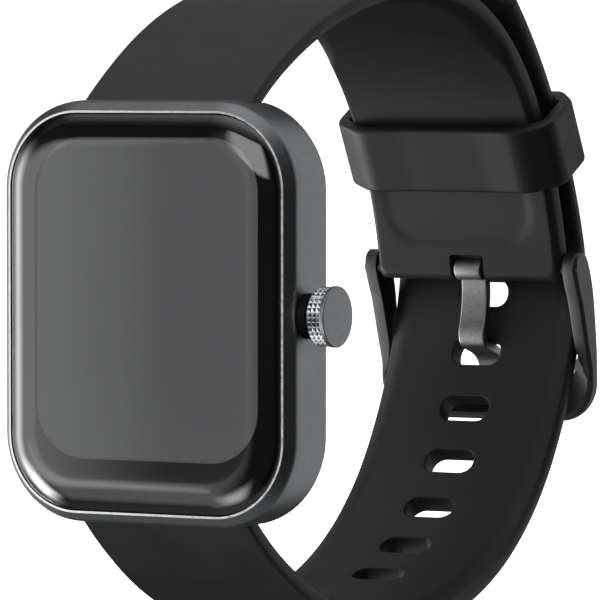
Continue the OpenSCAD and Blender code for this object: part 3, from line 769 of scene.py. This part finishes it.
def path_at(path, s):
    """Depth, height and heading (radians) at distance s along a centre line."""
    (y, z), heading, arcs = path
    h = math.radians(heading)
    if s < 0:
        return y + s * math.cos(h), z + s * math.sin(h), h
    for i, (r, sweep) in enumerate(arcs):
        a = math.radians(sweep)
        reached = s <= r * a or i == len(arcs) - 1
        if reached:
            a = s / r
        y += r * (math.sin(h) - math.sin(h - a))
        z += r * (math.cos(h - a) - math.cos(h))
        h -= a
        if reached:
            break
        s -= r * a
    return y, z, h


def path_distance(path, wanted_height, start):
    """The distance past start where the centre line comes down to a height."""
    s = start
    while path_at(path, s)[1] > wanted_height:
        s += 0.05
    return s


def half_width(path, s):
    """Half the strap's width at distance s: it widens between two depths."""
    narrow, wide, full_from = 10, 50, 60
    y = path_at(path, s)[0] if s < full_from else wide
    return (STRAP_W + (STRAP_WIDE - STRAP_W) * clamp((y - narrow) / (wide - narrow))) / 2


# The strap's rim as (distance in, height from the centre line), wrist side first
STRAP_EDGE = fillet([(5, -HALF_T), (1.9, -HALF_T), (0.25, -0.42), (0, 0.15), (0, HALF_T),
                     (1.9, HALF_T)], [5, 0.9, 0.8, 0.8], 6)


def flat_strap(name, path, end, rounded_end):
    """The strap half laid out flat: (across, distance along, height), as outlines at each height."""

    def drawn_in(inset, t, s):
        """The wrist side's soft bevel gets narrow past the keeper on the short half."""
        if rounded_end or t > 0.1:
            return inset
        part = clamp((s - KEEPER_REST) / 5)
        return inset * (1 - 0.7 * part * part * (3 - 2 * part))

    rings = []
    for inset, t in STRAP_EDGE:
        if rounded_end:
            r = TIP_R - inset
            first = math.asin(min(1, (STRAP_WIDE / 2 - inset) / r))
            turn = np.linspace(first, 0, 22)
            finish = [(r * math.sin(a), end - TIP_R + r * math.cos(a)) for a in turn]
        else:
            bulge = HALF_T + 0.02
            last = end - (bulge - math.sqrt(max(0, bulge ** 2 - t * t)))
            w, r = STRAP_WIDE / 2 - drawn_in(inset, t, end), 0.9
            turn = np.linspace(0, math.pi / 2, 7)
            finish = [(w - r + r * math.cos(a), last - r + r * math.sin(a)) for a in turn]
            finish.append((0, last))
        stops = np.linspace(STRAP_START, finish[0][1] - 0.5, 44)
        outline = [(half_width(path, s) - drawn_in(inset, t, s), s) for s in stops] + finish
        ring = [(x, s, t) for x, s in outline]
        ring += [(-x, s, t) for x, s in reversed(outline[:-1])]
        rings.append(ring)
    return new_object(name, loft(rings), scale=False)


def slot_cutter(centre, w, h, r, steps):
    """Cuts a rounded slot through the flat strap, at a distance along it."""
    outline = rounded_rect(w, h, r, steps)
    rings = [[(x, centre + y, t) for x, y in outline] for t in (-CUT_HALF, CUT_HALF)]
    return new_object("cutter", loft(rings), scale=False)


def round_rims(bm, centres, w, h, width):
    """Rounds the edges where holes meet the strap's faces."""
    rims = []
    for e in bm.edges:
        a, b = e.verts[0].co, e.verts[1].co
        if abs(a.z - b.z) > 1e-4 or abs(abs(a.z) - HALF_T) > 1e-3 or len(e.link_faces) != 2:
            continue
        mid = (a + b) / 2
        near = any(abs(mid.x) < w / 2 + 0.05 and abs(mid.y - c) < h / 2 + 0.05 for c in centres)
        if near and e.calc_face_angle() > 0.9:
            rims.append(e)
    bmesh.ops.bevel(bm, geom=rims, offset=width, segments=3, profile=0.5, affect="EDGES",
                    clamp_overlap=True)


def mend(bm, gap):
    """Joins doubled points, drops faces with no area and closes the hairline gaps left."""
    bmesh.ops.remove_doubles(bm, verts=bm.verts[:], dist=gap)
    bmesh.ops.dissolve_degenerate(bm, edges=bm.edges[:], dist=gap / 10)
    bmesh.ops.holes_fill(bm, edges=[e for e in bm.edges if e.is_boundary], sides=8)


def slice_up(bm, along, across):
    """Cuts the flat mesh into strips so that it can bend."""
    bmesh.ops.remove_doubles(bm, verts=bm.verts[:], dist=1e-4)
    bmesh.ops.triangulate(bm, faces=[f for f in bm.faces if len(f.verts) > 4])
    for axis, values in ((1, along), (0, across)):
        normal = Vector((0, 0, 0))
        normal[axis] = 1
        for value in values:
            point = Vector((0, 0, 0))
            point[axis] = value
            everything = bm.verts[:] + bm.edges[:] + bm.faces[:]
            bmesh.ops.bisect_plane(bm, geom=everything, dist=1e-5, plane_co=point, plane_no=normal)
    mend(bm, 1e-4)


def bend(obj, path, flip, lower_face=None):
    """Lays the flat strap along its path; flip turns it over to the six o'clock side.

    lower_face, if given, says what height a point of the flat strap gets first.
    """
    side = -1 if flip else 1
    for v in obj.data.vertices:
        x, s, t = v.co
        if lower_face:
            t = lower_face(x, s, t)
        y, z, h = path_at(path, s)
        v.co = world((side * x, y - t * math.sin(h), side * (z + t * math.cos(h))))
    obj.data.update()


def lug_bead(side):
    """The thick end of the strap round its spring bar; the lever's slot is cut into it afterwards."""
    half = STRAP_W / 2
    profile = fillet([(0.8, -half), (LUG_R, -half), (LUG_R, half), (0.8, half)], [0.3, 0.3], 4)
    shape = lathe([(r, side * x) for r, x in profile], (LUG[0], side * LUG[1]), "x", 48)
    return new_object("bead", shape)


def lever_cutter(side):
    """Cuts the slot for a release pin's lever."""
    near, far = sorted((side * 4.3, side * 6.9))
    z = side * LUG[1]
    low = (near, LUG[0] - 0.3, z - 0.65)
    high = (far, LUG[0] + 5, z + 0.65)
    return new_object("cutter", box_shape(low, high, 0.3))


def finish_strap(obj, side, node):
    """Gives a bent strap half its thick end, open for the lever."""
    bead = lug_bead(side)
    cut(bead, lever_cutter(side))
    cut(obj, lever_cutter(side))
    merge(obj, bead)
    shade(obj, 45)
    stands_for(obj, node, "watch", SILICONE)


def build_upper_strap():
    """The short half, with a notch in its end for the tongue."""
    end = path_distance(UPPER, BAR[1], 60) + HALF_T
    obj = flat_strap("strap_short", UPPER, end, False)
    notch_w, notch_reach = 4.2, 3.1
    cut(obj, slot_cutter(end + 0.1, notch_w, 2 * (notch_reach + 0.1), 0.35, 6))
    edit_mesh(obj, slice_up, np.arange(FIRST_SLICE, end - 0.5, 0.55), np.arange(-10.5, 10.6, 0.5))
    fade_in = 3
    relief_start = path_distance(UPPER, 15, 50) - fade_in
    relief_end = path_distance(UPPER, 5.6, 60)

    def recess(x, s, t):
        """A shallow U-shaped relief on the wrist side, from under the keeper down."""
        if t > -HALF_T + 0.02 or s < relief_start:
            return t
        half, r, soft, deep = 9.0, 3.6, 0.35, 0.13
        dx = max(abs(x + 0.4) - (half - r), 0)
        ds = max(s - (relief_end - r), 0)
        inside = 0.5 - 0.5 * math.tanh((math.hypot(dx, ds) - r) / soft)
        return t + deep * inside * clamp((s - relief_start) / fade_in)

    bend(obj, UPPER, False, recess)
    finish_strap(obj, 1, "strap_upper")


def build_lower_strap():
    """The long half with its nine holes."""
    end = path_length(LOWER)
    obj = flat_strap("strap_long", LOWER, end, True)
    centres = [HOLE_IN_USE + k * HOLE_PITCH for k in range(-5, 4)]
    cut(obj, *[slot_cutter(c, HOLE_W, HOLE_H, HOLE_R, 8) for c in centres])
    edit_mesh(obj, round_rims, centres, HOLE_W, HOLE_H, 0.16)
    edit_mesh(obj, slice_up, np.arange(FIRST_SLICE, end - 0.3, 0.7), np.arange(-10, 10.1, 1))
    bend(obj, LOWER, True)
    finish_strap(obj, -1, "strap_lower")


def build_spring(half):
    """The coil in a spring bar."""
    low, high = node_size(half + "_bar_spring")
    y, z = (low[1] + high[1]) / 2, (low[2] + high[2]) / 2
    wire, turns, turn_steps = 0.09, 7, 24
    coil = (high[2] - low[2]) / 2 - wire
    pitch = (high[0] - low[0] - 2 * wire) / turns
    rings = []
    for a in np.linspace(0, 2 * math.pi * turns, turn_steps * turns + 1):
        ring = []
        for b in np.linspace(0, 2 * math.pi, 8, endpoint=False):
            r = coil + wire * math.cos(b)
            x = low[0] + wire + pitch * a / (2 * math.pi) + wire * math.sin(b)
            ring.append((x, y + r * math.cos(a), z + r * math.sin(a)))
        rings.append(ring)
    obj = new_object(half + "_coil", loft(rings))
    shade(obj, 60)
    stands_for(obj, half + "_bar_spring", "watch", STEEL)
    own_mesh(obj)


# ---------------------------------------------------------------- keeper

def build_keeper():
    """A rounded band round both strap halves, swept along the loop with soft edges."""
    half = fillet([(0, 31.25), (5, 31.2), (9.7, 30.9), (12.85, 32.8), (12.85, 35.9), (12.78, 36),
                   (12.85, 36.1), (12.85, 37.9), (11.3, 39.45), (0, 39.45)],
                  [30, 3.5, 1.6, 0.02, 0.02, 0.02, 0.9, 0.9], 8)
    side = [p for p in half if 0 < p[0]]
    line = [(x, r) for x, r in side] + [(-x, r) for x, r in reversed(side)]
    n = len(line)
    middle = math.radians(sum(KEEPER_ANGLES) / 2)
    long_half = LOOP_R * math.radians(KEEPER_ANGLES[1] - KEEPER_ANGLES[0]) / 2
    thick_half = 0.72
    profile = fillet([(-thick_half, 0), (-thick_half, long_half), (thick_half, long_half),
                      (thick_half, -long_half), (-thick_half, -long_half), (-thick_half, 0)],
                     [0.4, 0.62, 0.62, 0.4], 5)[:-1]
    rings = []
    for i in range(n):
        here = np.array(line[i])
        tangent = np.array(line[(i + 1) % n]) - np.array(line[i - 1])
        tangent /= np.linalg.norm(tangent)
        normal = np.array((tangent[1], -tangent[0]))
        ring = []
        for across, along in profile:
            x, r = here + normal * across
            a = middle + along / r
            ring.append((x, LOOP_CENTRE + r * math.cos(a), r * math.sin(a)))
        rings.append(ring)
    obj = new_object("keeper_band", loft(rings, closed=True))
    shade(obj, 50)
    stands_for(obj, "keeper", "keeper", KEEPER_SILICONE)


# ---------------------------------------------------------------- buckle

def build_frame():
    """The buckle frame, from one ear down its side bar, along the crossbar and up to the other ear."""
    front = smooth_line([(4.3, 72.3), (4.12, 71.6), (3.6, 71), (2.8, 70.8), (1.8, 70.95), (0.4, 71.5),
                         (-1.5, 72.4), (-5.7, 73.8), (-8, 74.6), (-10, 75), (-15, 75.1)])
    back = smooth_line([(4.3, 72.3), (4.22, 72.9), (3.75, 73.8), (2.2, 74.7), (-0.6, 75.6), (-6, 76.4),
                        (-9.4, 76.6), (-15, 76.6)])

    def span(z):
        """The front and back depth of the frame at a height."""
        near = np.interp(-z, [-p[0] for p in front], [p[1] for p in front])
        far = np.interp(-z, [-p[0] for p in back], [p[1] for p in back])
        return near, far

    # Outer and inner points, (across, height), of the ear, side bar, corner and half the crossbar
    out, inn = 13.4, 11.75
    bottom, top = -14.8, -12
    ear = 4.29 - 0.35 * (1 - np.cos(np.linspace(0.15, math.pi / 2, 7)))
    stations = [((out, z), (inn, z)) for z in (*ear, *np.linspace(3.7, -9, 34))]
    for a in np.radians(np.linspace(0, 90, 15)):
        outer = (9 + 4.4 * math.cos(a), -10.4 - 4.4 * math.sin(a))
        inner = (8.75 + 3 * math.cos(a), -9 - 3 * math.sin(a))
        stations.append((outer, inner))
    stations += [((x, bottom), (x, top)) for x in (6, 3)]
    mirrored = [((-o[0], o[1]), (-i[0], i[1])) for o, i in reversed(stations)]
    rings = []
    for outer, inner in stations + [((0, bottom), (0, top))] + mirrored:
        o, i = np.array(outer), np.array(inner)
        near, far = span((o[1] + i[1]) / 2)
        deep = max(far - near, 0.06)
        wide = float(np.linalg.norm(o - i))
        slope = np.interp(-o[1], [6.5, 10], [0, 1]) * max(0.8, wide - 0.75)
        flange = (np.interp(-o[1], [6.4, 7.5, 8.7], [0, 0.6, 1.35])
                  * np.interp(abs(o[0]), [6, 9], [0, 1]))
        edge = 0.48 * min(1, deep)
        corners = [(wide - 0.6 * edge, near), (wide, near + edge), (wide, far), (-flange, far),
                   (-flange, far - 0.45 * min(1, deep)), (slope, near)]
        start = ((slope + wide) / 2, near)
        section = fillet([start, *corners, start], [0.12, 0.12, 0.25, 0.15, 0.15, 0.12], 3)[:-1]
        ring = [(*(i + (o - i) * u / wide), y) for u, y in section]
        rings.append([(x, y, z) for x, z, y in ring])
    obj = new_object("buckle_loop", loft(rings))
    edit_mesh(obj, mend, 2e-6)
    shade(obj, 50)
    stands_for(obj, "buckle_frame", "buckle_frame", BUCKLE_METAL)


def build_tongue():
    """The tongue, from its barrel through the strap's hole to its rounded end on the crossbar."""
    line = smooth_line([(72.45, 2.6), (72.7, 1.0), (72.8, -0.9), (72.45, -3.2), (72.0, -4.9),
                        (72.33, -6.0), (73.36, -6.42), (75.08, -6.98), (76.46, -7.9), (77.33, -9.85),
                        (77.45, -13), (77.35, -14.3)], 7)
    n = len(line)
    rings = []
    for i, p in enumerate(line):
        tangent = line[min(i + 1, n - 1)] - line[max(i - 1, 0)]
        tangent = tangent / np.linalg.norm(tangent)
        normal = np.array((tangent[1], -tangent[0]))
        to_end = (n - 1 - i) / 6
        taper = math.sqrt(max(0.04, 1 - max(0, 1 - to_end) ** 2))
        w, t = TONGUE_HALF * (0.55 + 0.45 * taper), 0.5 * taper
        section = fillet([(0, -t), (w, -t), (w, t), (-w, t), (-w, -t), (0, -t)], [0.28] * 4, 4)[:-1]
        rings.append([(x, *(p + normal * side)) for x, side in section])
    shank = loft(rings)
    bore, r = 0.67, 1.3
    barrel = fillet([(bore, -TONGUE_HALF), (r, -TONGUE_HALF), (r, TONGUE_HALF), (bore, TONGUE_HALF)],
                    [0.22, 0.22], 4)
    obj = new_object("tongue", join(shank, lathe(barrel, BAR, "x", 64)))
    shade(obj, 50)
    stands_for(obj, "buckle_tongue", "buckle_tongue", TONGUE_METAL)


def build_bar():
    half, r = 13.42, 0.6
    profile = fillet([(0.01, -half), (r, -half), (r, half), (0.01, half)], [0.12, 0.12], 4)
    obj = new_object("hinge_bar", lathe(profile, BAR, "x", 48))
    shade(obj, 40)
    stands_for(obj, "buckle_bar", "watch", BUCKLE_METAL)


# ---------------------------------------------------------------- stage

AZIMUTH, ELEVATION = 29.277, 2.385
AIM = world((18.078, 0, 1.75))
DISTANCE = 548.65 * MM
LENS, SENSOR = 331.05, 36
LAMP_AIM = world((0, 20, 0))


def direction(azimuth, elevation):
    """A unit vector from the object: azimuth 0 is in front, 90 on the crown side."""
    a, e = math.radians(azimuth), math.radians(elevation)
    return Vector((math.sin(a) * math.cos(e), -math.cos(a) * math.cos(e), math.sin(e)))


def build_camera():
    data = bpy.data.cameras.new("camera")
    data.lens, data.sensor_width = LENS, SENSOR
    data.clip_start, data.clip_end = 0.01, 20
    cam = bpy.data.objects.new("camera", data)
    bpy.context.scene.collection.objects.link(cam)
    cam.location = AIM + DISTANCE * direction(AZIMUTH, ELEVATION)
    cam.rotation_euler = (AIM - cam.location).to_track_quat("-Z", "Y").to_euler()
    bpy.context.scene.camera = cam


def softbox(name, azimuth, elevation, distance, size, radiance):
    """A square lamp of a given radiance, facing the watch and seen neither directly nor mirrored."""
    data = bpy.data.lights.new(name, "AREA")
    data.shape = "SQUARE"
    data.size = size * MM
    data.energy = radiance * math.pi * data.size * data.size
    lamp = bpy.data.objects.new(name, data)
    bpy.context.scene.collection.objects.link(lamp)
    lamp.location = LAMP_AIM + direction(azimuth, elevation) * distance * MM
    lamp.rotation_euler = (LAMP_AIM - lamp.location).to_track_quat("-Z", "Y").to_euler()
    lamp.visible_camera = False
    lamp.visible_glossy = False


def build_lights():
    softbox("overhead", -20, 72, 460, 420, 5)
    softbox("key", -50, 30, 520, 260, 4)


# The studio's soft light panels: azimuth, elevation, half the width and height and the softness
# across and up, all in degrees, and the radiance
PANELS = (
    (-73.3, -4.5, 41.6, 17.5, 1.2, 7, 1.42),
    (-79, -14, 10, 28, 12, 12, 4.7),
    (-70, -29, 13, 10, 7, 7, 9),
    (-38, -31, 12, 25, 8, 3.5, 0.72),
    (-13, -46, 15, 10, 12, 8, 3.2),
    (6, 27, 24, 17, 6, 2, 2.2),
    (-20, 0, 6, 34, 10, 12, 0.3),
    (150, 5, 32, 50, 18, 20, 0.68),
    (-142, 20, 26, 40, 16, 20, 0.2),
    (-20, 78, 170, 20, 40, 16, 1),
    (0, -78, 200, 22, 1, 14, 0.2),
)
DIM = 0.022  # radiance between the panels


def build_world():
    """A dim studio with soft panels round the watch, seen by the camera as plain white."""
    world_data = bpy.data.worlds.new("studio")
    world_data.use_nodes = True
    bpy.context.scene.world = world_data
    tree = world_data.node_tree

    def calc(operation, a, b=None):
        """A maths node on numbers or sockets."""
        n = tree.nodes.new("ShaderNodeMath")
        n.operation = operation
        for socket, value in zip(n.inputs, (a, b)):
            if isinstance(value, (int, float)):
                socket.default_value = value
            elif value is not None:
                tree.links.new(value, socket)
        return n.outputs["Value"]

    def fade(distance, half, soft):
        """1 within half degrees of a panel's middle, 0 outside, with a soft edge."""
        n = tree.nodes.new("ShaderNodeMapRange")
        n.interpolation_type = "SMOOTHSTEP"
        limits = (math.radians(half - soft), math.radians(half + soft), 1, 0)
        for socket, number in zip(("From Min", "From Max", "To Min", "To Max"), limits):
            n.inputs[socket].default_value = number
        tree.links.new(distance, n.inputs["Value"])
        return n.outputs["Result"]

    way = tree.nodes.new("ShaderNodeSeparateXYZ")
    tree.links.new(tree.nodes.new("ShaderNodeTexCoord").outputs["Generated"], way.inputs["Vector"])
    around = calc("ARCTAN2", way.outputs["X"], calc("MULTIPLY", way.outputs["Y"], -1))
    up = calc("ARCSINE", way.outputs["Z"])
    total = DIM
    for azimuth, elevation, half_az, half_el, soft_az, soft_el, radiance in PANELS:
        turn = calc("ABSOLUTE", calc("SUBTRACT", around, math.radians(azimuth)))
        rise = calc("ABSOLUTE", calc("SUBTRACT", up, math.radians(elevation)))
        shape = calc("MULTIPLY", fade(turn, half_az, soft_az), fade(rise, half_el, soft_el))
        total = calc("ADD", total, calc("MULTIPLY", shape, radiance))

    soft = tree.nodes["Background"]
    soft.inputs["Color"].default_value = (0.985, 0.995, 1, 1)
    tree.links.new(total, soft.inputs["Strength"])
    seen = tree.nodes.new("ShaderNodeBackground")
    seen.inputs["Color"].default_value = (1, 1, 1, 1)
    path = tree.nodes.new("ShaderNodeLightPath")
    mix = tree.nodes.new("ShaderNodeMixShader")
    tree.links.new(path.outputs["Is Camera Ray"], mix.inputs["Fac"])
    tree.links.new(soft.outputs["Background"], mix.inputs[1])
    tree.links.new(seen.outputs["Background"], mix.inputs[2])
    tree.links.new(mix.outputs["Shader"], tree.nodes["World Output"].inputs["Surface"])


def build_floor():
    """A wide pale sweep, in metres: a floor that curves up into a wall behind the watch."""
    low = cad_box[0][2] - 0.0003
    reach, curve_start, r, top, columns = 2.5, 0.9, 0.7, 2.6, 9
    turn = np.linspace(0.1, math.pi / 2, 14)
    profile = [(-reach, 0), (curve_start, 0)]
    profile += [(curve_start + r * math.sin(a), r - r * math.cos(a)) for a in turn]
    profile += [(curve_start + r, top)]
    points = [(x, y, z + low) for y, z in profile for x in np.linspace(-reach, reach, columns)]
    faces = []
    for i in range(len(profile) - 1):
        for k in range(columns - 1):
            a = i * columns + k
            faces.append((a, a + 1, a + columns + 1, a + columns))
    floor = new_object("floor", (points, faces), scale=False)
    look = Look("pale_floor", (0.86, 0.86, 0.86), 0.8,
                Emission_Color=(1, 1, 1, 1), Emission_Strength=0.85)
    floor.data.materials.append(look.vary(60, 0.01).material)
    shade(floor, 60, weighted=False)
    floor.visible_diffuse = floor.visible_glossy = False
    floor.visible_transmission = floor.visible_shadow = False


bpy.context.scene.view_settings.view_transform = "Standard"
build_camera()
build_world()
build_lights()
build_floor()
dress_cad_nodes()
build_case()
build_glass()
build_cover()
build_window()
build_screws()
build_pins()
build_knob()
build_cap()
build_collar()
build_upper_strap()
build_lower_strap()
build_spring("upper")
build_spring("lower")
build_keeper()
build_frame()
build_tongue()
build_bar()
